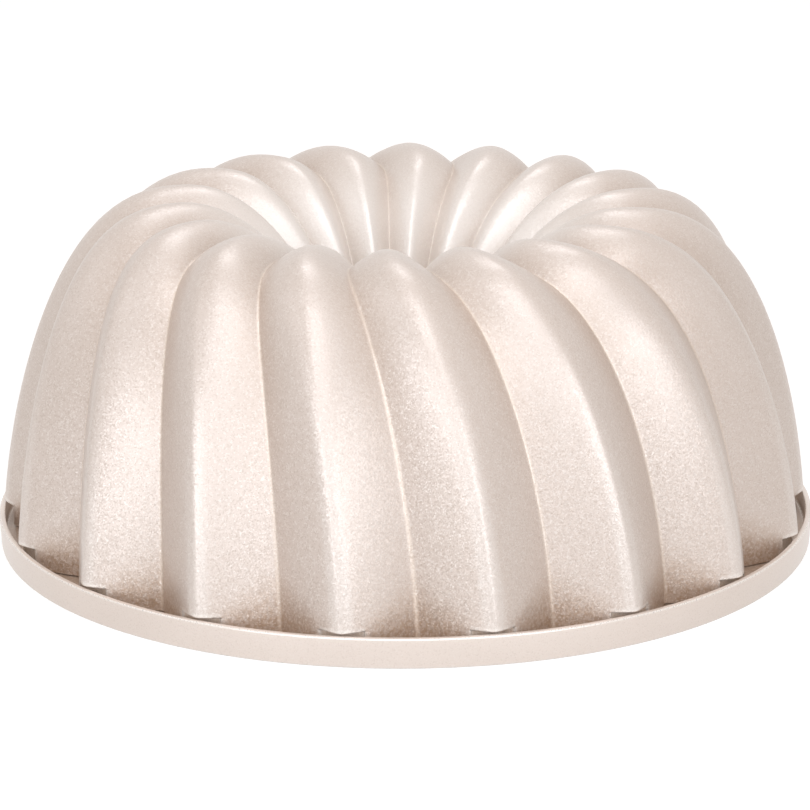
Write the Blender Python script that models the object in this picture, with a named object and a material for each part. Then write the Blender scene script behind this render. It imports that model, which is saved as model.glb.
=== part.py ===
"""Gugelhupf pan with swirling flutes, standing upside down on its rim.

Metres, +Z up. The origin is on the pan's axis, in the plane of the rim's resting edge.
"""

import math

import bmesh
import bpy

# Rim ring: a band with a lip, and a low flange behind the lip that carries the shell
RIM_RADIUS = 0.130
RIM_DRAFT = 0.0004          # the band is this much slimmer at its resting edge
SKIRT_THICKNESS = 0.003     # of the band under the flange
SKIRT_HEIGHT = 0.001        # from the resting edge to the underside of the flange
FLANGE_THICKNESS = 0.0022   # under the groove
LIP_THICKNESS = 0.0019
LIP_RISE = 0.0061           # from the floor of the groove to the top of the lip
GROOVE_WIDTH = 0.0031
FLANGE_RISE = 0.0004        # from the floor of the groove to the flange's outer edge
FLANGE_SLOPE = 0.02         # rise of the flange per length, towards the axis
RIM_CHAMFER = 0.0005

# Fluted shell
PAN_HEIGHT = 0.1084         # to the top of the flutes on the crown
CROWN_RADIUS = 0.0702       # of the circle where the creases are highest
FLUTE_COUNT = 18
FLUTE_DEPTH_FOOT = 0.0126
FLUTE_DEPTH_CROWN = 0.0063
RIDGE_ROUNDNESS_FOOT = 0.12     # near 0 is a sharp ridge between flat flanks
RIDGE_ROUNDNESS_CROWN = 0.8
ROUNDING_RISE = 3.0         # a larger value keeps the ridges sharp up to a greater height
CROWN_FULLNESS = 0.90       # below 1 makes the flutes on the crown fuller
FRONT_CREASE = math.radians(1.7)        # a crease at the foot, right of the front
SWIRL = math.radians(16.6)              # turn of a flute from its foot to SWIRL_RADIUS
SWIRL_RADIUS = 0.058        # inside this circle the flutes turn no further
FUNNEL_UNWIND = math.radians(4.3)       # turn back, from the crown down to the neck
CREST_INSET = 0.0008        # from the lip's outer edge in to the flutes' crests
NOTCH_RISE = 0.0004         # from the top of the lip to the crests' undersides
WALL = 0.0032
FOOT_WALL = 0.0045          # at the creases' feet
CREST_FOOT_WALL = 0.003     # inside the groove, where the crests are cut back
FOOT_TAPER = 0.025          # height over which the foot thins down to WALL
CREST_TAPER = 0.050         # height over which the thickening behind the crests fades
WALL_BULGE_OUT = 2.76       # a larger value makes the crown flatter outside the creases' highest circle
WALL_BULGE_UP = 1.69        # a larger value keeps the wall upright for longer
FUNNEL_BULGE_OUT = 1.9      # a larger value makes the crown flatter inside that circle
FUNNEL_BULGE_UP = 1.8       # a larger value keeps the funnel upright for longer
DEPTH_FADE = 1.37           # a larger value keeps the flutes deep up to a greater height

# Centre tube, a spigot fit in the funnel's neck
NECK_RADIUS = 0.024
NECK_HEIGHT = 0.0331        # the lower end of the shell's neck
TUBE_END_HEIGHT = 0.006     # the tube stops this far above the resting plane
TUBE_WALL = 0.0027
SPIGOT_LENGTH = 0.007
RUNOUT_CLEARANCE = 0.002    # plain neck left above the spigot
TUBE_CHAMFER = 0.0005

FIT_GAP = 0.0003            # between pieces that sit in or on each other

# Mesh density
COLUMNS_PER_FLUTE = 8
WALL_ROWS = 8
FUNNEL_ROWS = 6
STEP_SAMPLES = 600          # along the crease line, to space the rows evenly
TUBE_COLUMNS = 48
SHARP_ANGLE = math.radians(40.0)

# What follows from the sizes above
GROOVE_FLOOR = SKIRT_HEIGHT + FLANGE_THICKNESS
RIM_HEIGHT = GROOVE_FLOOR + LIP_RISE
LIP_INNER_RADIUS = RIM_RADIUS - LIP_THICKNESS
FLANGE_RADIUS = LIP_INNER_RADIUS - GROOVE_WIDTH
FLANGE_EDGE_HEIGHT = GROOVE_FLOOR + FLANGE_RISE
SHELL_SEAT = FLANGE_EDGE_HEIGHT + FIT_GAP
NOTCH_HEIGHT = RIM_HEIGHT + NOTCH_RISE
CREST_RADIUS = RIM_RADIUS - CREST_INSET
CREASE_RADIUS = CREST_RADIUS - FLUTE_DEPTH_FOOT
CREASE_HEIGHT = PAN_HEIGHT - FLUTE_DEPTH_CROWN
CREST_THICKENING = CREST_RADIUS - FOOT_WALL - (FLANGE_RADIUS - CREST_FOOT_WALL)
RUNOUT_HEIGHT = NECK_HEIGHT + SPIGOT_LENGTH + RUNOUT_CLEARANCE
COLUMNS = FLUTE_COUNT * COLUMNS_PER_FLUTE


def clear_scene():
    for obj in list(bpy.data.objects):
        bpy.data.objects.remove(obj, do_unlink=True)


def crease_point(t):
    """Radius and height of the crease line: t is 0 at the foot, 1 on the crown, 2 at the neck."""
    if t <= 1.0:
        angle = t * math.pi / 2
        out = max(math.cos(angle), 0.0) ** (2 / WALL_BULGE_OUT)
        up = math.sin(angle) ** (2 / WALL_BULGE_UP)
        return CROWN_RADIUS + (CREASE_RADIUS - CROWN_RADIUS) * out, CREASE_HEIGHT * up
    angle = (t - 1.0) * math.pi / 2
    into = math.sin(angle) ** (2 / FUNNEL_BULGE_OUT)
    up = max(math.cos(angle), 0.0) ** (2 / FUNNEL_BULGE_UP)
    radius = CROWN_RADIUS - (CROWN_RADIUS - NECK_RADIUS) * into
    return radius, NECK_HEIGHT + (CREASE_HEIGHT - NECK_HEIGHT) * up


def crease_normal(t):
    """Unit normal of the crease line, pointing to the open air."""
    step = 0.0005
    before_r, before_z = crease_point(max(t - step, 0.0))
    after_r, after_z = crease_point(min(t + step, 2.0))
    length = math.hypot(after_r - before_r, after_z - before_z)
    return (after_z - before_z) / length, (before_r - after_r) / length


def swirl_at(t):
    """Turn of the flutes at t: a growing swirl up the wall, unwinding down the funnel."""
    radius, height = crease_point(t)
    share = min(math.log(CREASE_RADIUS / radius) / math.log(CREASE_RADIUS / SWIRL_RADIUS), 1.0)
    down = (CREASE_HEIGHT - height) / (CREASE_HEIGHT - NECK_HEIGHT) if t > 1.0 else 0.0
    return SWIRL * share * (2.0 - share) - FUNNEL_UNWIND * math.sin(down * math.pi / 2)


def flute_depth(t):
    height = crease_point(t)[1]
    if t <= 1.0:
        fade = (height / CREASE_HEIGHT) ** DEPTH_FADE
        return FLUTE_DEPTH_FOOT + (FLUTE_DEPTH_CROWN - FLUTE_DEPTH_FOOT) * fade
    down = (CREASE_HEIGHT - height) / (CREASE_HEIGHT - RUNOUT_HEIGHT)
    return FLUTE_DEPTH_CROWN * (1.0 - min(down, 1.0) ** 3)


def flute_share(across, t):
    """Share of the flutes' depth that stands over the creases; across is 0 on a crest, 1 in a crease."""
    up = min(crease_point(t)[1] / CREASE_HEIGHT, 1.0) if t <= 1.0 else 1.0
    rounding = up ** ROUNDING_RISE
    ratio = RIDGE_ROUNDNESS_CROWN / RIDGE_ROUNDNESS_FOOT
    roundness = RIDGE_ROUNDNESS_FOOT * ratio ** rounding
    fall = math.hypot(across, roundness) - roundness
    share = max(1.0 - fall / (math.hypot(1.0, roundness) - roundness), 0.0)
    return share ** (1.0 + (CROWN_FULLNESS - 1.0) * rounding)


def above_seat(t, height):
    """0 at the shell's foot, 1 from a given height above it."""
    if t > 1.0:
        return 1.0
    return min(max((crease_point(t)[1] - SHELL_SEAT) / height, 0.0), 1.0)


def outer_offset(across, t):
    return flute_depth(t) * flute_share(across, t)


def inner_offset(across, t):
    """Offset of the baking surface from the crease line, thicker at the foot and behind the crests."""
    wall = WALL + (FOOT_WALL - WALL) * (1.0 - above_seat(t, FOOT_TAPER)) ** 2
    thickening = CREST_THICKENING * (1.0 - above_seat(t, CREST_TAPER))
    return (flute_depth(t) - thickening) * flute_share(across, t) - wall


def foot_parameter(height):
    """The t at which the crease line is at a given height on the wall."""
    return math.asin((height / CREASE_HEIGHT) ** (WALL_BULGE_UP / 2)) * 2 / math.pi


def even_steps(start, end, count):
    """Values of t at about equal steps along the crease line, from past start up to end."""
    samples = [start + (end - start) * (i / STEP_SAMPLES) ** 2 for i in range(STEP_SAMPLES + 1)]
    run = [0.0]
    for before, after in zip(samples, samples[1:]):
        run.append(run[-1] + math.dist(crease_point(before), crease_point(after)))
    steps = []
    for i in range(1, count):
        nearest = min(range(len(run)), key=lambda k: abs(run[k] - run[-1] * i / count))
        steps.append(samples[nearest])
    return steps + [end]


def column_across(column):
    return 2.0 * (column % COLUMNS_PER_FLUTE) / COLUMNS_PER_FLUTE - 1.0


def column_angle(column, t):
    return FRONT_CREASE - math.pi / 2 + math.tau * column / COLUMNS - swirl_at(t)


def at_angle(radius, angle, height):
    return radius * math.cos(angle), radius * math.sin(angle), height


def foot_radii(height, offset, largest=math.inf):
    """Radii of the fluted wall round the pan at a height near its foot."""
    t = foot_parameter(height)
    radius = crease_point(t)[0]
    return [min(radius + offset(column_across(i), t), largest) for i in range(COLUMNS)]


def foot_ring(radii, heights):
    angles = [column_angle(i, foot_parameter(SHELL_SEAT)) for i in range(COLUMNS)]
    return [at_angle(*point) for point in zip(radii, angles, heights)]


def level_ring(radii, height):
    return foot_ring(radii, [height] * COLUMNS)


def on_flange(radii, gap=0.0):
    """A ring on the flange's sloping top, or a gap above it."""
    heights = [FLANGE_EDGE_HEIGHT + (FLANGE_RADIUS - r) * FLANGE_SLOPE + gap for r in radii]
    return foot_ring(radii, heights)


def shell_ring(t, offset):
    """One ring of points along the flutes, offset from the crease line along its normal."""
    radius, height = crease_point(t)
    normal_r, normal_z = crease_normal(t)
    ring = []
    for column in range(COLUMNS):
        out = offset(column_across(column), t)
        point = at_angle(radius + normal_r * out, column_angle(column, t), height + normal_z * out)
        ring.append(point)
    return ring


def round_ring(radius, height, columns):
    return [at_angle(radius, math.tau * i / columns, height) for i in range(columns)]


def ring_solid(name, rings, base, material, parent):
    """A closed solid from rings of equal count, each joined to the next and the last to the first."""
    bm = bmesh.new()
    rows = [[bm.verts.new((x, y, z - base)) for x, y, z in ring] for ring in rings]
    for row, following in zip(rows, rows[1:] + rows[:1]):
        for i in range(len(row)):
            j = (i + 1) % len(row)
            bm.faces.new((row[i], row[j], following[j], following[i]))
    bmesh.ops.remove_doubles(bm, verts=bm.verts, dist=0.00001)
    bmesh.ops.recalc_face_normals(bm, faces=bm.faces)
    mesh = bpy.data.meshes.new(name)
    bm.to_mesh(mesh)
    bm.free()
    mesh.shade_smooth()
    mesh.set_sharp_from_angle(angle=SHARP_ANGLE)
    mesh.materials.append(material)
    obj = bpy.data.objects.new(name, mesh)
    bpy.context.scene.collection.objects.link(obj)
    obj.location.z = base
    obj.parent = parent
    return obj


def coat(name, colour, roughness, metallic):
    material = bpy.data.materials.new(name)
    material.use_nodes = True
    shader = material.node_tree.nodes["Principled BSDF"]
    shader.inputs["Base Color"].default_value = (*colour, 1.0)
    shader.inputs["Roughness"].default_value = roughness
    shader.inputs["Metallic"].default_value = metallic
    return material


def make_rim_ring(parent):
    """Band, lip, groove and flange; the flange ends flush with the inside of the shell."""
    inner = foot_radii(SHELL_SEAT, inner_offset)
    section = [
        (RIM_RADIUS - SKIRT_THICKNESS, SKIRT_HEIGHT),
        (RIM_RADIUS - SKIRT_THICKNESS, 0.0),
        (RIM_RADIUS - RIM_DRAFT - RIM_CHAMFER, 0.0),
        (RIM_RADIUS - RIM_DRAFT, RIM_CHAMFER),
        (RIM_RADIUS, RIM_HEIGHT - RIM_CHAMFER),
        (RIM_RADIUS - RIM_CHAMFER, RIM_HEIGHT),
        (LIP_INNER_RADIUS, RIM_HEIGHT),
        (LIP_INNER_RADIUS, GROOVE_FLOOR),
        (FLANGE_RADIUS, GROOVE_FLOOR),
        (FLANGE_RADIUS, FLANGE_EDGE_HEIGHT),
    ]
    rings = [level_ring(inner, SKIRT_HEIGHT)]
    rings += [level_ring([radius] * COLUMNS, height) for radius, height in section]
    rings.append(on_flange(inner))
    satin = coat("satin_coat", (0.64, 0.50, 0.42), 0.34, 0.6)
    return ring_solid("rim_ring", rings, 0.0, satin, parent)


def make_fluted_shell(parent):
    """Fluted wall, crown and funnel; under a notch the crests' feet are cut back to the flange."""
    notch = foot_parameter(NOTCH_HEIGHT)
    rows = even_steps(notch, 1.0, WALL_ROWS) + even_steps(1.0, 2.0, FUNNEL_ROWS)
    rings = [
        on_flange(foot_radii(SHELL_SEAT, outer_offset, FLANGE_RADIUS), FIT_GAP),
        level_ring(foot_radii(NOTCH_HEIGHT, outer_offset, FLANGE_RADIUS), NOTCH_HEIGHT),
        level_ring(foot_radii(NOTCH_HEIGHT, outer_offset), NOTCH_HEIGHT),
    ]
    rings += [shell_ring(t, outer_offset) for t in rows]
    rings += [shell_ring(t, inner_offset) for t in reversed(rows)]
    rings.append(on_flange(foot_radii(SHELL_SEAT, inner_offset), FIT_GAP))
    grained = coat("grained_coat", (0.70, 0.56, 0.47), 0.42, 0.6)
    return ring_solid("fluted_shell", rings, SHELL_SEAT, grained, parent)


def make_centre_tube(parent):
    """Turned tube, flush with the neck outside and with a spigot up into it."""
    spigot_radius = NECK_RADIUS - FIT_GAP
    bore_radius = spigot_radius - TUBE_WALL
    shoulder_height = NECK_HEIGHT - FIT_GAP
    spigot_top = NECK_HEIGHT + SPIGOT_LENGTH
    section = [
        (bore_radius, TUBE_END_HEIGHT + TUBE_CHAMFER),
        (bore_radius + TUBE_CHAMFER, TUBE_END_HEIGHT),
        (spigot_radius - TUBE_CHAMFER, TUBE_END_HEIGHT),
        (spigot_radius, TUBE_END_HEIGHT + TUBE_CHAMFER),
        (NECK_RADIUS + WALL, shoulder_height),
        (spigot_radius, shoulder_height),
        (spigot_radius, spigot_top),
        (bore_radius, spigot_top),
    ]
    rings = [round_ring(radius, height, TUBE_COLUMNS) for radius, height in section]
    plain = coat("plain_coat", (0.62, 0.49, 0.41), 0.38, 0.6)
    return ring_solid("centre_tube", rings, TUBE_END_HEIGHT, plain, parent)


def main():
    clear_scene()
    pan = bpy.data.objects.new("pan", None)
    bpy.context.scene.collection.objects.link(pan)
    make_rim_ring(pan)
    make_fluted_shell(pan)
    make_centre_tube(pan)


main()
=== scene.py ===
from math import asin, cos, hypot, log, pi, radians, sin, tau

import bmesh
import bpy
import numpy as np
from mathutils import Matrix, Vector


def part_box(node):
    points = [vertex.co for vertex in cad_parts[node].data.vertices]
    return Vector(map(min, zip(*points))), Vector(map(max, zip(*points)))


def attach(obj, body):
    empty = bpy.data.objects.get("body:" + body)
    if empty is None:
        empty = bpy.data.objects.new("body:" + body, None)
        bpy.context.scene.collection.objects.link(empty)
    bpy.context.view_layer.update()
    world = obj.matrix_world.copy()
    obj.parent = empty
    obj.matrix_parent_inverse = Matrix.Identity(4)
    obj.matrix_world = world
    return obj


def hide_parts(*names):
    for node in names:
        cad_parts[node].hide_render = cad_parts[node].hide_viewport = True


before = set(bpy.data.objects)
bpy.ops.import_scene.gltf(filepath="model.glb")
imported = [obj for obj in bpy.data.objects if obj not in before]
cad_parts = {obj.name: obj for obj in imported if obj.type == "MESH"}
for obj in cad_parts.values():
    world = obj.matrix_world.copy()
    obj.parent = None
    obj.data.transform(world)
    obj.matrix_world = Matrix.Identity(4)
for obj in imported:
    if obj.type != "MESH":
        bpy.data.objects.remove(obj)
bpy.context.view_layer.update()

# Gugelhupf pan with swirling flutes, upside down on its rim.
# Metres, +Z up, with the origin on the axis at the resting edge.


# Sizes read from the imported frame

rimPoints = np.array([v.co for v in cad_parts["rim_ring"].data.vertices])
rimRadius = float(np.hypot(rimPoints[:, 0], rimPoints[:, 1]).max())
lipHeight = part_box("rim_ring")[1].z
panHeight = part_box("fluted_shell")[1].z
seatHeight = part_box("fluted_shell")[0].z


# Camera, at the photo's angle: it looks along +Y and down

camera = dict(aim=(0.00002, 0.0, 0.03994), distance=1.111, elevation=16.91, roll=-0.25, lens=154.5,
              sensor=36.0, clip=(0.05, 20.0))


def placeCamera(view):
    data = bpy.data.cameras.new("photoCamera")
    data.lens, data.sensor_width = view["lens"], view["sensor"]
    data.clip_start, data.clip_end = view["clip"]
    obj = bpy.data.objects.new("photoCamera", data)
    bpy.context.scene.collection.objects.link(obj)
    tilt = radians(view["elevation"])
    back = Vector((0.0, -cos(tilt), sin(tilt)))
    turn = (-back).to_track_quat("-Z", "Y").to_matrix().to_4x4()
    spot = Matrix.Translation(Vector(view["aim"]) + back * view["distance"])
    obj.matrix_world = spot @ turn @ Matrix.Rotation(radians(view["roll"]), 4, "Z")
    bpy.context.scene.camera = obj


placeCamera(camera)
print("camera placed")


# Helpers for node trees

class NodeSheet:
    # a short way to add nodes and wires to one material
    def __init__(self, name):
        self.material = bpy.data.materials.new(name)
        self.material.use_nodes = True
        self.tree = self.material.node_tree
        self.shader = self.tree.nodes["Principled BSDF"]

    def add(self, kind, inputs=(), **settings):
        node = self.tree.nodes.new(kind)
        for key, value in settings.items():
            setattr(node, key, value)
        for key, value in dict(inputs).items():
            self.put(node.inputs[key], value)
        return node

    def put(self, socket, value):
        if isinstance(value, bpy.types.NodeSocket):
            self.tree.links.new(value, socket)
        else:
            socket.default_value = value

    def math(self, operation, a, b):
        return self.add("ShaderNodeMath", {0: a, 1: b}, operation=operation).outputs[0]

    def vector(self, operation, a, b=(0.0, 0.0, 0.0), scale=1.0):
        node = self.add("ShaderNodeVectorMath", {0: a, 1: b, 3: scale}, operation=operation)
        return node.outputs[0]

    def blendColour(self, share, a, b):
        node = self.add("ShaderNodeMix", data_type="RGBA")
        self.put(node.inputs["Factor"], share)
        self.put(node.inputs["A"], a)
        self.put(node.inputs["B"], b)
        return node.outputs["Result"]

    def spread(self, value, low, high, toLow, toHigh):
        node = self.add("ShaderNodeMapRange", {"Value": value, "From Min": low, "From Max": high,
                                               "To Min": toLow, "To Max": toHigh})
        return node.outputs["Result"]

    def noise(self, place, size, detail=2.0):
        node = self.add("ShaderNodeTexNoise", {"Vector": place, "Scale": 1.0 / size, "Detail": detail})
        return node.outputs["Fac"]

    def attribute(self, name):
        return self.add("ShaderNodeAttribute", attribute_name=name).outputs["Fac"]


def rgba(colour):
    return (*colour, 1.0)


# The coats: a champagne lacquer with fine metal flakes. Sizes in metres.

# the foot tint paints shade; the crease tint paints warm light on the shell and shade in the rim's groove;
# the ridge, funnel and edge shares paint highlights
shellCoat = dict(
    base=(0.68, 0.59, 0.53), pale=(0.92, 0.88, 0.84), dark=(0.43, 0.33, 0.255),
    footShadeTint=(0.43, 0.29, 0.19), footShadeShare=0.85, footShadeNoise=0.0011,
    creaseLightShadeTint=(0.80, 0.68, 0.57), creaseLightShadeShare=0.5, ridgeHighlightShare=0.25, funnelHighlightShare=0.60,
    metallic=0.34, ior=1.65, roughness=0.40, coatWeight=0.55, coatRoughness=0.31,
    flake=0.00038, flakeTilt=0.20, brightFlakes=0.15, darkFlakes=0.15, flakeShare=0.27, calmCrown=0.70,
    grain=0.0008, grainDepth=0.00005, cloud=0.035, cloudShare=0.10,
    edgeHighlightTint=(0.94, 0.90, 0.85), edgeHighlightShare=0.85)
rimCoat = dict(
    base=(0.83, 0.735, 0.665), pale=(0.90, 0.84, 0.79), dark=(0.56, 0.46, 0.39),
    footShadeTint=(0.40, 0.28, 0.20), footShadeShare=0.8, footShadeNoise=0.0011,
    creaseLightShadeTint=(0.45, 0.33, 0.24), creaseLightShadeShare=0.6, ridgeHighlightShare=0.0, funnelHighlightShare=0.0,
    metallic=0.30, ior=1.7, roughness=0.34, coatWeight=0.35, coatRoughness=0.26,
    flake=0.00026, flakeTilt=0.05, brightFlakes=0.10, darkFlakes=0.08, flakeShare=0.25, calmCrown=1.0,
    grain=0.0011, grainDepth=0.000012, cloud=0.030, cloudShare=0.08,
    edgeHighlightTint=(0.93, 0.90, 0.86), edgeHighlightShare=0.6)
tubeCoat = dict(rimCoat, base=(0.66, 0.56, 0.50), roughness=0.38, flakeTilt=0.10)
# the same on every coat: noise levels where tints come in, changes of roughness, and sizes in metres
texture = dict(
    calmHeights=(0.055, 0.095), cloudLevels=(0.3, 0.7), footLevels=(0.40, 0.60), footLeast=0.5,
    edgeMarkLevels=(0.3, 0.6), edgeMarkLeast=0.5, wornGloss=0.06, smoother=0.05, rougher=0.07, turning=0.00035)


def coatMaterial(name, look, rings=False):
    sheet = NodeSheet(name)
    place = sheet.add("ShaderNodeTexCoord").outputs["Object"]
    cells = sheet.add("ShaderNodeTexVoronoi", {"Vector": place, "Scale": 1.0 / look["flake"]})
    tone = sheet.add("ShaderNodeSeparateColor", {"Color": cells.outputs["Color"]}).outputs
    grain = sheet.noise(place, look["grain"])
    level = sheet.add("ShaderNodeSeparateXYZ", {0: place}).outputs["Z"]
    calm = sheet.spread(level, *texture["calmHeights"], 1.0, look["calmCrown"])
    fleck = sheet.math("MULTIPLY", calm, look["flakeShare"])
    cloud = sheet.noise(place, look["cloud"], detail=3.0)

    # colour: cloudy lacquer flecked by the flakes, with painted shade at the foot, beside the crown's creases
    # and on the rim's flange and groove, painted warm light along the shell's creases and in its notches, and
    # painted highlights on the lower crests, in the funnel and on rounded edges, which are also worn glossier
    colour = sheet.blendColour(sheet.spread(cloud, *texture["cloudLevels"], 0.0, look["cloudShare"]),
                               rgba(look["base"]), rgba(look["dark"]))
    # painted shade: darker and browner at the foot of the flanks, beside the crown's creases and on the rim's
    # flange, broken up by coarse noise
    coarse = sheet.noise(place, look["footShadeNoise"], detail=1.0)
    footShade = sheet.math("MULTIPLY", sheet.attribute("footShade"),
                      sheet.spread(coarse, *texture["footLevels"], texture["footLeast"], 1.0))
    share = sheet.math("MULTIPLY", footShade, look["footShadeShare"])
    colour = sheet.blendColour(share, colour, rgba(look["footShadeTint"]))
    # painted highlight along the shell's creases and painted warm light in its notches; on the rim, painted
    # shade in the groove
    creaseLightAndGrooveShade = sheet.math("MULTIPLY", sheet.attribute("creaseLightAndGrooveShade"), look["creaseLightShadeShare"])
    colour = sheet.blendColour(creaseLightAndGrooveShade, colour, rgba(look["creaseLightShadeTint"]))
    bright = sheet.math("GREATER_THAN", tone["Red"], 1.0 - look["brightFlakes"])
    colour = sheet.blendColour(sheet.math("MULTIPLY", bright, fleck), colour, rgba(look["pale"]))
    dark = sheet.math("LESS_THAN", tone["Red"], look["darkFlakes"])
    colour = sheet.blendColour(sheet.math("MULTIPLY", dark, fleck), colour, rgba(look["dark"]))
    # painted highlights in the pale colour: along the lower crests and down into the funnel
    for mark in ("ridgeHighlight", "funnelHighlight"):
        share = sheet.math("MULTIPLY", sheet.attribute(mark), look[mark + "Share"])
        colour = sheet.blendColour(share, colour, rgba(look["pale"]))
    # rounded edges: painted highlight in a pale colour, and wear that makes them a little glossier
    edgeWearAndHighlight = sheet.math("MULTIPLY", sheet.attribute("edge"),
                      sheet.spread(grain, *texture["edgeMarkLevels"], texture["edgeMarkLeast"], 1.0))
    share = sheet.math("MULTIPLY", edgeWearAndHighlight, look["edgeHighlightShare"])
    colour = sheet.blendColour(share, colour, rgba(look["edgeHighlightTint"]))
    sheet.put(sheet.shader.inputs["Base Color"], colour)

    # finish: each flake tilts its own way, over a fine orange peel
    rough = sheet.spread(tone["Green"], 0.0, 1.0,
                         look["roughness"] - texture["smoother"], look["roughness"] + texture["rougher"])
    rough = sheet.math("SUBTRACT", rough, sheet.math("MULTIPLY", edgeWearAndHighlight, texture["wornGloss"]))
    sheet.put(sheet.shader.inputs["Roughness"], rough)
    tilt = sheet.vector("SCALE", sheet.vector("SUBTRACT", cells.outputs["Color"], (0.5, 0.5, 0.5)),
                        scale=sheet.math("MULTIPLY", fleck, look["flakeTilt"] / look["flakeShare"]))
    normal = sheet.vector("ADD", sheet.add("ShaderNodeNewGeometry").outputs["Normal"], tilt)
    normal = sheet.vector("NORMALIZE", normal)
    height = grain
    if rings:                   # fine turning marks round the axis
        flat = sheet.vector("MULTIPLY", place, (1.0, 1.0, 0.0))
        out = sheet.add("ShaderNodeVectorMath", {0: flat}, operation="LENGTH").outputs["Value"]
        lathe = sheet.add("ShaderNodeCombineXYZ", {"X": out, "Y": level}).outputs[0]
        height = sheet.math("ADD", grain, sheet.noise(lathe, texture["turning"], detail=1.0))
    bump = sheet.add("ShaderNodeBump", {"Height": height, "Distance": look["grainDepth"],
                                        "Strength": 1.0, "Normal": normal})
    sheet.put(sheet.shader.inputs["Normal"], bump.outputs["Normal"])
    sheet.shader.inputs["Metallic"].default_value = look["metallic"]
    sheet.shader.inputs["IOR"].default_value = look["ior"]
    sheet.shader.inputs["Coat Weight"].default_value = look["coatWeight"]
    sheet.shader.inputs["Coat Roughness"].default_value = look["coatRoughness"]
    return sheet.material


# Meshes made of rings of points

sameSpot = 0.000002     # points closer than this are one point
sharpFrom = radians(35.0)       # edges that turn more than this are shaded sharp


def gridSolid(name, rings, lightShadeMarks, material):
    # rings: rows of equal length round the axis, the last row joined to the first
    grid = np.array(rings)
    rows, columns = grid.shape[:2]
    index = np.arange(rows * columns).reshape(rows, columns)
    across = np.roll(index, -1, axis=1)
    quads = np.stack([index, across, np.roll(across, -1, axis=0), np.roll(index, -1, axis=0)], axis=-1)
    mesh = bpy.data.meshes.new(name)
    mesh.from_pydata(grid.reshape(-1, 3).tolist(), [], quads.reshape(-1, 4).tolist())
    for lightShadeMark, values in lightShadeMarks.items():
        layer = mesh.attributes.new(lightShadeMark, "FLOAT", "POINT")
        layer.data.foreach_set("value", np.array(values, np.float32).ravel())
    joined = bmesh.new()
    joined.from_mesh(mesh)
    bmesh.ops.remove_doubles(joined, verts=joined.verts, dist=sameSpot)
    joined.to_mesh(mesh)
    joined.free()
    mesh.shade_smooth()
    mesh.set_sharp_from_angle(angle=sharpFrom)
    mesh.materials.append(material)
    obj = bpy.data.objects.new(name, mesh)
    bpy.context.scene.collection.objects.link(obj)
    return obj


def standFor(obj, node):
    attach(obj, "root")
    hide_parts(node)


# Fluted shell. t is 0 at the foot, 1 on the crown and 2 at the funnel's neck.
# across is 0 on a flute's crest, and -1 and 1 in the creases beside it.

shell = dict(
    flutes=18, crownRadius=0.0702, depthFoot=0.0126, depthCrown=0.0063, depthFade=1.37,
    roundFoot=0.12, roundCrown=0.8, roundRise=3.0, fullCrown=0.90,
    frontCrease=radians(1.7), swirl=radians(16.6), swirlRadius=0.058, unwind=radians(4.3), crestInset=0.0008,
    wall=0.0032, footWall=0.0045, crestFootWall=0.003, footTaper=0.025, crestTaper=0.050,
    bulgeOut=2.76, bulgeUp=1.69, funnelOut=1.9, funnelUp=1.8,
    neckRadius=0.024, neckHeight=0.0331, runout=0.0421,
    cutRadius=0.125, notchHeight=0.0097, notchHalf=0.30, notchSide=0.03, notchRound=0.0005,
    creaseFillet=0.022, flangeSlope=0.02,
    cutShares=(0.0, 0.3, 0.6, 0.85, 1.0), roofShares=(0.35, 0.7), roundSteps=5,
    firstStep=0.004, outerRows=(44, 28), innerRows=(26, 16), curveSamples=1500)
crestRadius = rimRadius - shell["crestInset"]
creaseRadius = crestRadius - shell["depthFoot"]
creaseHeight = panHeight - shell["depthCrown"]


def creasePoint(t):
    # radius and height of the crease: a full curve from the foot to the crown, and another down the funnel
    if t <= 1.0:
        out = max(cos(t * pi / 2), 0.0) ** (2 / shell["bulgeOut"])
        up = sin(t * pi / 2) ** (2 / shell["bulgeUp"])
        return shell["crownRadius"] + (creaseRadius - shell["crownRadius"]) * out, creaseHeight * up
    into = sin((t - 1.0) * pi / 2) ** (2 / shell["funnelOut"])
    up = max(cos((t - 1.0) * pi / 2), 0.0) ** (2 / shell["funnelUp"])
    radius = shell["crownRadius"] - (shell["crownRadius"] - shell["neckRadius"]) * into
    return radius, shell["neckHeight"] + (creaseHeight - shell["neckHeight"]) * up


def creaseNormal(t):
    beside = 0.0005
    r0, z0 = creasePoint(max(t - beside, 0.0))
    r1, z1 = creasePoint(min(t + beside, 2.0))
    length = hypot(r1 - r0, z1 - z0)
    return (z1 - z0) / length, (r0 - r1) / length


def swirlAt(t):
    # the angle that the flutes have turned by
    radius, height = creasePoint(t)
    share = min(log(creaseRadius / radius) / log(creaseRadius / shell["swirlRadius"]), 1.0)
    down = (creaseHeight - height) / (creaseHeight - shell["neckHeight"]) if t > 1.0 else 0.0
    return shell["swirl"] * share * (2.0 - share) - shell["unwind"] * sin(down * pi / 2)


def fluteDepth(t):
    height = creasePoint(t)[1]
    if t <= 1.0:
        fade = (height / creaseHeight) ** shell["depthFade"]
        return shell["depthFoot"] + (shell["depthCrown"] - shell["depthFoot"]) * fade
    down = (creaseHeight - height) / (creaseHeight - shell["runout"])
    return shell["depthCrown"] * (1.0 - min(down, 1.0) ** 3)


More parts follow.
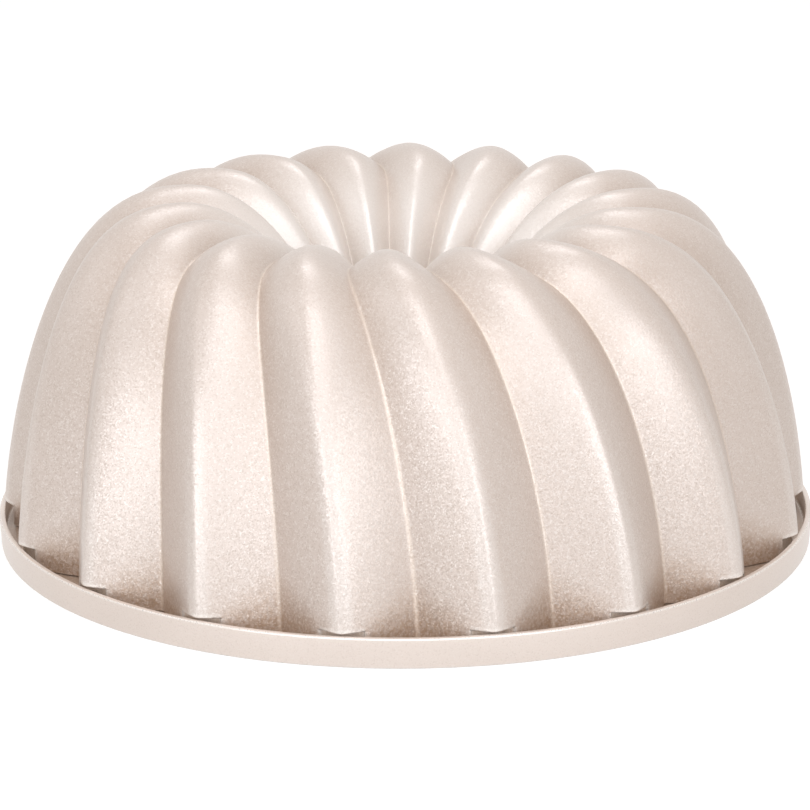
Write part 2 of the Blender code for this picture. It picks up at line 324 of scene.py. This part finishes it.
def fluteShare(across, t):
    # share of the flute's depth: 1 on a crest that is sharp at the foot and round on the crown, 0 in a crease
    up = min(creasePoint(t)[1] / creaseHeight, 1.0) if t <= 1.0 else 1.0
    blunt = shell["roundFoot"] * (shell["roundCrown"] / shell["roundFoot"]) ** up ** shell["roundRise"]
    fillet = shell["creaseFillet"]
    eased = 1.0 - (np.hypot(1.0 - np.abs(across), fillet) - fillet)
    full = 1.0 + (shell["fullCrown"] - 1.0) * up ** shell["roundRise"]
    return np.maximum(1.0 - (np.hypot(eased, blunt) - blunt) / (hypot(1.0, blunt) - blunt), 0.0) ** full


def aboveSeat(t, height):
    return 1.0 if t > 1.0 else min(max((creasePoint(t)[1] - seatHeight) / height, 0.0), 1.0)


def outerOffset(across, t):
    return fluteDepth(t) * fluteShare(across, t)


def innerOffset(across, t):
    wall = shell["wall"] + (shell["footWall"] - shell["wall"]) * (1.0 - aboveSeat(t, shell["footTaper"])) ** 2
    # at the foot the inner face is drawn in, behind the crests that are cut back
    atSeat = crestRadius - shell["footWall"] - (shell["cutRadius"] - shell["crestFootWall"])
    drawnIn = atSeat * (1.0 - aboveSeat(t, shell["crestTaper"]))
    return (fluteDepth(t) - drawnIn) * fluteShare(across, t) - wall


def tAt(height):
    return asin((height / creaseHeight) ** (shell["bulgeUp"] / 2)) * 2 / pi


# columns from a crest to the crease: closer on the crest, at the notch's side and in the crease
halfFlute = np.array([0.0, 0.035, 0.075, 0.12, 0.17, 0.22, 0.255, 0.275, 0.29, 0.305, 0.325, 0.37, 0.44,
                      0.52, 0.60, 0.69, 0.78, 0.86, 0.92, 0.955, 0.98])
fluteAcross = np.concatenate([[-1.0], -halfFlute[:0:-1], halfFlute])
acrossAll = np.tile(fluteAcross, shell["flutes"])
turnAll = np.repeat(np.arange(shell["flutes"]), len(fluteAcross)) + (acrossAll + 1.0) / 2.0
angleAll = shell["frontCrease"] - pi / 2 + tau * turnAll / shell["flutes"]


def ringAt(radii, heights, turn):
    angle = angleAll - turn
    heights = np.broadcast_to(heights, angle.shape)
    return np.stack([radii * np.cos(angle), radii * np.sin(angle), heights], axis=-1)


def fluteRing(t, offset):
    radius, height = creasePoint(t)
    outward, upward = creaseNormal(t)
    out = offset(acrossAll, t)
    return ringAt(radius + outward * out, height + upward * out, swirlAt(t))


def notchWeight():
    # 1 in a notch, 0 beside it
    side = (shell["notchHalf"] - np.abs(acrossAll)) / shell["notchSide"] + 0.5
    side = np.clip(side, 0.0, 1.0)
    return side * side * (3.0 - 2.0 * side)


def flangeTop(radii):
    return seatHeight + (shell["cutRadius"] - radii) * shell["flangeSlope"]


def footRows():
    # from the flange up past the notch: the crests are cut back, then come out over a rounded underside
    top = shell["notchHeight"]
    lowT, topT = tAt(seatHeight), tAt(top)
    weight = notchWeight()
    full = [creasePoint(t)[0] + outerOffset(acrossAll, t) for t in (lowT, topT)]
    lowCut, cut = (np.where(r > shell["cutRadius"], r + (shell["cutRadius"] - r) * weight, r) for r in full)
    low = flangeTop(lowCut)
    rows = []
    for share in shell["cutShares"]:
        turn = swirlAt(lowT) + (swirlAt(topT) - swirlAt(lowT)) * share
        rows.append(ringAt(lowCut + (cut - lowCut) * share, low + (top - low) * share, turn))
    for share in shell["roofShares"]:
        rows.append(ringAt(cut + (full[1] - cut) * share, top, swirlAt(topT)))
    fillet = shell["notchRound"]
    for step in range(shell["roundSteps"] + 1):
        angle = step / shell["roundSteps"] * pi / 2
        rise = top + fillet * (1.0 - cos(angle))
        tHere = tAt(rise)
        body = creasePoint(tHere)[0] + outerOffset(acrossAll, tHere)
        inset = fillet * (1.0 - sin(angle)) * weight
        rows.append(ringAt(body - inset, rise, swirlAt(tHere)))
    return rows


def evenSteps(start, end, count):
    # values of t at equal steps along the crease's curve
    fine = start + (end - start) * np.linspace(0.0, 1.0, shell["curveSamples"]) ** 2
    points = np.array([creasePoint(t) for t in fine])
    run = np.concatenate([[0.0], np.cumsum(np.hypot(*np.diff(points, axis=0).T))])
    return list(np.interp(np.linspace(0.0, run[-1], count + 1), run, fine))[1:]


# where the painted shade and painted highlights go: heights in metres, and places from a crest, 0, to its
# crease, 1
marks = dict(
    footBelowLip=0.002, footReach=0.006, footMore=0.012, footMoreAcross=(0.23, 1.0), footAcross=(0.167, 0.5),
    valleyAcross=(0.45, 0.90), valleyUp=(0.045, 0.085), valleyShadeShare=0.30,
    ridgeAcross=(0.19, 0.12), ridgeUp=(0.084, 0.024), creaseAcross=(0.955, 0.985),
    notchShare=1.6, notchRows=2, edgeReach=0.04, funnelAlong=(1.0, 1.35))


def ramp(value, start, end):
    # 0 before start, 1 past end, and straight in between
    return np.clip((value - start) / (end - start), 0.0, 1.0)


def shellLightShadeMarks(up, outer, footCount):
    # up: the height of every point; outer: t of the rows that follow the foot's
    # marks of painted shade and painted highlights, which the coat reads
    outside = np.zeros((len(up), 1))
    outside[:footCount + len(outer)] = 1.0
    fromCrest = np.abs(acrossAll)[None, :]
    cutCount = len(shell["cutShares"]) + len(shell["roofShares"])
    footStart = lipHeight - marks["footBelowLip"]
    footReach = marks["footReach"] + marks["footMore"] * ramp(fromCrest, *marks["footMoreAcross"])
    # painted shade on the flanks just above the lip, reaching higher away from the crest
    footShade = (1.0 - ramp(up, footStart, footStart + footReach)) * ramp(fromCrest, *marks["footAcross"])
    # painted shade beside the creases high on the wall, merged into the painted shade at the foot
    valleyShade = ramp(fromCrest, *marks["valleyAcross"]) * ramp(up, *marks["valleyUp"])
    # painted highlight along the creases, and painted warm light in the notches
    creaseLightAndGrooveShade = ramp(fromCrest, *marks["creaseAcross"]) * outside
    notch = slice(0, cutCount + marks["notchRows"])
    creaseLightAndGrooveShade[notch] = np.maximum(creaseLightAndGrooveShade[notch], marks["notchShare"] * notchWeight())
    # painted highlight: paler down into the funnel
    funnelHighlight = np.zeros(up.shape)
    for row, t in enumerate(outer, footCount):
        funnelHighlight[row] = ramp(t, *marks["funnelAlong"])
    # painted highlights on the notches' rounded undersides and side edges
    edge = np.zeros(up.shape)
    edge[cutCount:footCount] = notchWeight()
    edge[:cutCount] = 1.0 - ramp(np.abs(fromCrest - shell["notchHalf"]), 0.0, marks["edgeReach"])
    # painted highlight along the crests, strongest low down
    ridgeHighlight = ramp(fromCrest, *marks["ridgeAcross"]) * ramp(up, *marks["ridgeUp"]) * outside
    footShade = np.maximum(footShade, marks["valleyShadeShare"] * valleyShade) * outside
    return dict(footShade=footShade, creaseLightAndGrooveShade=creaseLightAndGrooveShade, edge=edge, ridgeHighlight=ridgeHighlight, funnelHighlight=funnelHighlight)


def makeShell():
    rows = footRows()
    footCount = len(rows)
    start = tAt(shell["notchHeight"] + shell["notchRound"]) + shell["firstStep"]
    outer, inner = ([start] + evenSteps(start, 1.0, rising) + evenSteps(1.0, 2.0, falling)
                    for rising, falling in (shell["outerRows"], shell["innerRows"]))
    rows += [fluteRing(t, outerOffset) for t in outer]
    rows += [fluteRing(t, innerOffset) for t in inner[::-1]]
    t = tAt(seatHeight)
    radii = creasePoint(t)[0] + innerOffset(acrossAll, t)
    rows.append(ringAt(radii, flangeTop(radii), swirlAt(t)))
    grid = np.array(rows)
    lightShadeMarks = shellLightShadeMarks(grid[:, :, 2], outer, footCount)
    obj = gridSolid("shell_fine", grid, lightShadeMarks, coatMaterial("grained_coat_finish", shellCoat))
    standFor(obj, "fluted_shell")


makeShell()
print("fluted shell made")


# Rim ring: a turned band with a lip, and a low flange behind the lip under the shell

rim = dict(
    skirtWall=0.003, skirtHeight=0.001, flangeThickness=0.0022, lipThickness=0.0019, grooveWidth=0.0031,
    draft=0.0004, flangeEdge=0.0036, slopeRun=0.004, seatGap=0.0003,
    skirtRound=0.0004, footRound=0.0005, lipRound=0.0006, lipInnerRound=0.0004, grooveRound=0.0008,
    flangeRound=0.0001, arcSteps=5, shadeBelowLip=0.001, shadePast=0.0001)


mostOfSide = 0.45       # a rounding takes at most this share of the shorter side beside it


def roundedCorner(before, corner, after, radius, steps):
    # points of an arc that rounds one corner of a profile
    corner = np.array(corner)
    toBefore = np.array(before) - corner
    toAfter = np.array(after) - corner
    lengths = np.linalg.norm(toBefore), np.linalg.norm(toAfter)
    toBefore, toAfter = toBefore / lengths[0], toAfter / lengths[1]
    half = np.arccos(np.clip(toBefore @ toAfter, -1.0, 1.0)) / 2
    reachBack = min(radius / np.tan(half), mostOfSide * min(lengths))
    bow = reachBack * np.tan(half)
    middle = toBefore + toAfter
    centre = corner + middle / np.linalg.norm(middle) * bow / np.sin(half)
    start = corner + toBefore * reachBack - centre
    end = corner + toAfter * reachBack - centre
    whole = np.arctan2(start[0] * end[1] - start[1] * end[0], start @ end)
    points = []
    for i in range(steps + 1):
        turn = whole * i / steps
        points.append(centre + np.array([start[0] * cos(turn) - start[1] * sin(turn),
                                         start[0] * sin(turn) + start[1] * cos(turn)]))
    return points


def roundedProfile(corners, steps, closed=False):
    # corners: (radius, height, rounding), with 0 for a sharp one; gives the points and how much painted
    # highlight and wear each gets
    points, edgeWearAndHighlight = [], []
    for i, (r, z, rounding) in enumerate(corners):
        inside = closed or 0 < i < len(corners) - 1
        if rounding and inside:
            before, after = corners[i - 1][:2], corners[(i + 1) % len(corners)][:2]
            arc = roundedCorner(before, (r, z), after, rounding, steps)
            points += arc
            edgeWearAndHighlight += [sin(pi * k / steps) for k in range(steps + 1)]
        else:
            points.append(np.array([r, z]))
            edgeWearAndHighlight.append(0.0)
    return points, edgeWearAndHighlight


def makeRim():
    lipInner = rimRadius - rim["lipThickness"]
    floor = rim["skirtHeight"] + rim["flangeThickness"]
    flangeRadius = lipInner - rim["grooveWidth"]
    t = tAt(seatHeight)
    inner = creasePoint(t)[0] + innerOffset(acrossAll, t)
    corners = [
        (flangeRadius, rim["skirtHeight"], 0),
        (rimRadius - rim["skirtWall"], rim["skirtHeight"], rim["skirtRound"]),
        (rimRadius - rim["skirtWall"], 0.0, rim["skirtRound"]),
        (rimRadius - rim["draft"], 0.0, rim["footRound"]),
        (rimRadius, lipHeight, rim["lipRound"]),
        (lipInner, lipHeight, rim["lipInnerRound"]),
        (lipInner, floor, rim["grooveRound"]),
        (flangeRadius, floor, rim["flangeRound"]),
        (flangeRadius, rim["flangeEdge"], rim["flangeRound"]),
        (flangeRadius - rim["slopeRun"], rim["flangeEdge"] + rim["slopeRun"] * shell["flangeSlope"], 0),
    ]
    profile, edgeWearAndHighlight = roundedProfile(corners, rim["arcSteps"])
    profile, edgeWearAndHighlight = profile[1:-1], edgeWearAndHighlight[1:-1]       # the two ends only give the direction there
    turn = swirlAt(t)
    rows = [ringAt(inner, rim["skirtHeight"], turn)]
    rows += [ringAt(np.full(len(acrossAll), r), z, turn) for r, z in profile]
    rows.append(ringAt(inner, flangeTop(inner) - rim["seatGap"], turn))
    grid = np.array(rows)
    # painted shade in the groove behind the lip and on the flange under the shell; painted highlight and wear
    # on the rounded corners
    edge = np.repeat(np.array([0.0] + edgeWearAndHighlight + [0.0])[:, None], grid.shape[1], axis=1)
    out = np.hypot(grid[:, :, 0], grid[:, :, 1])
    up, past = grid[:, :, 2], rim["shadePast"]
    groove = (out < lipInner + past) & (up > floor - past) & (up < lipHeight - rim["shadeBelowLip"])
    flange = (out < flangeRadius + past) & (up > floor + past)
    lightShadeMarks = dict(edge=edge, creaseLightAndGrooveShade=groove.astype(float), footShade=flange.astype(float))
    obj = gridSolid("rim_fine", grid, lightShadeMarks, coatMaterial("satin_coat_finish", rimCoat, rings=True))
    standFor(obj, "rim_ring")


makeRim()
print("rim ring made")


# Centre tube: turned, flush with the funnel's neck, with a spigot up into it

tube = dict(end=0.006, wall=0.0027, spigot=0.007, gap=0.0003,
            endRound=0.0006, shoulderRound=0.0002, topRound=0.0003, columns=160, arcSteps=5)


def makeTube():
    spigotRadius = shell["neckRadius"] - tube["gap"]
    bore = spigotRadius - tube["wall"]
    shoulder = shell["neckHeight"] - tube["gap"]
    top = shell["neckHeight"] + tube["spigot"]
    corners = [
        (bore, tube["end"], tube["endRound"]), (spigotRadius, tube["end"], tube["endRound"]),
        (shell["neckRadius"] + shell["wall"], shoulder, tube["shoulderRound"]), (spigotRadius, shoulder, 0),
        (spigotRadius, top, tube["topRound"]), (bore, top, tube["topRound"]),
    ]
    profile, edgeWearAndHighlight = roundedProfile(corners, tube["arcSteps"], closed=True)
    angles = tau * np.arange(tube["columns"]) / tube["columns"]
    rows = [np.stack([r * np.cos(angles), r * np.sin(angles), np.full(len(angles), z)], axis=-1)
            for r, z in profile]
    # painted highlight and wear on the tube's rounded corners
    edge = np.repeat(np.array(edgeWearAndHighlight)[:, None], tube["columns"], axis=1)
    material = coatMaterial("plain_coat_finish", tubeCoat, rings=True)
    obj = gridSolid("tube_fine", rows, dict(edge=edge), material)
    standFor(obj, "centre_tube")


makeTube()
print("centre tube made")


# Studio: a white floor that keeps a soft shadow, a white surround with warm fill light, and large soft lamps

studio = dict(floorSize=8.0, glow=0.80, floorColour=0.36, aimHeight=0.05, worldLight=(0.46, 0.38, 0.315),
              lampColour=(0.955, 1.01, 1.09))
lamps = dict(       # way: degrees round from the camera's side, and above the floor
    frontLeft=dict(way=(-32, 12), away=1.7, size=(0.8, 0.8), watts=5.7),
    frontRight=dict(way=(32, 12), away=1.7, size=(0.8, 0.8), watts=6.0),
    front=dict(way=(0, 14), away=1.7, size=(0.8, 0.8), watts=2.6),
    frontHigh=dict(way=(0, 45), away=1.7, size=(1.1, 0.8), watts=4.4),
    highLeft=dict(way=(-80, 42), away=1.7, size=(0.8, 0.8), watts=0.9),
    frontTop=dict(way=(0, 68), away=1.6, size=(0.8, 0.6), watts=3.0),
    top=dict(way=(0, 86), away=1.6, size=(1.0, 1.0), watts=1.1),
    backHigh=dict(way=(180, 58), away=1.6, size=(0.5, 0.4), watts=2.2),
)


def studioPlace(look):
    azimuth, elevation = (radians(angle) for angle in look["way"])
    way = Vector((sin(azimuth) * cos(elevation), -cos(azimuth) * cos(elevation), sin(elevation)))
    aim = Vector((0.0, 0.0, studio["aimHeight"]))
    return way * look["away"] + aim, (-way).to_track_quat("-Z", "Y").to_euler()


def seenDirectly(tree):
    # 1 for what the camera sees straight, in gloss or through glass, and 0 for light that falls on the pan
    path = tree.nodes.new("ShaderNodeLightPath")
    share = path.outputs["Is Camera Ray"]
    for ray in ("Is Glossy Ray", "Is Transmission Ray"):
        either = tree.nodes.new("ShaderNodeMath")
        either.operation = "MAXIMUM"
        tree.links.new(share, either.inputs[0])
        tree.links.new(path.outputs[ray], either.inputs[1])
        share = either.outputs[0]
    return share


def makeFloor():
    half = studio["floorSize"] / 2
    mesh = bpy.data.meshes.new("floor")
    corners = [(-half, -half, 0), (half, -half, 0), (half, half, 0), (-half, half, 0)]
    mesh.from_pydata(corners, [], [(0, 1, 2, 3)])
    obj = bpy.data.objects.new("floor", mesh)
    bpy.context.scene.collection.objects.link(obj)
    material = bpy.data.materials.new("white_floor")
    material.use_nodes = True
    tree = material.node_tree
    tree.nodes.clear()
    paint = tree.nodes.new("ShaderNodeBsdfDiffuse")
    paint.inputs["Color"].default_value = rgba((studio["floorColour"],) * 3)
    glow = tree.nodes.new("ShaderNodeEmission")
    both = tree.nodes.new("ShaderNodeAddShader")
    out = tree.nodes.new("ShaderNodeOutputMaterial")
    strength = tree.nodes.new("ShaderNodeMath")
    strength.operation = "MULTIPLY"
    strength.inputs[1].default_value = studio["glow"]
    tree.links.new(seenDirectly(tree), strength.inputs[0])
    tree.links.new(strength.outputs[0], glow.inputs["Strength"])
    tree.links.new(paint.outputs[0], both.inputs[0])
    tree.links.new(glow.outputs[0], both.inputs[1])
    tree.links.new(both.outputs[0], out.inputs["Surface"])
    mesh.materials.append(material)


def makeSurround():
    world = bpy.data.worlds.new("surround")
    world.use_nodes = True
    tree = world.node_tree
    back = tree.nodes["Background"]
    colour = tree.nodes.new("ShaderNodeMix")
    colour.data_type = "RGBA"
    tree.links.new(seenDirectly(tree), colour.inputs["Factor"])
    colour.inputs["A"].default_value = rgba(studio["worldLight"])
    colour.inputs["B"].default_value = (1.0, 1.0, 1.0, 1.0)
    tree.links.new(colour.outputs["Result"], back.inputs["Color"])
    bpy.context.scene.world = world


def makeLamps():
    for name, lamp in lamps.items():
        data = bpy.data.lights.new(name, "AREA")
        data.shape = "RECTANGLE"
        data.size, data.size_y = lamp["size"]
        data.energy = lamp["watts"]
        data.color = studio["lampColour"]
        obj = bpy.data.objects.new(name, data)
        obj.location, obj.rotation_euler = studioPlace(lamp)
        bpy.context.scene.collection.objects.link(obj)


makeFloor()
makeSurround()
makeLamps()
bpy.context.scene.view_settings.view_transform = "Standard"
print("studio made")
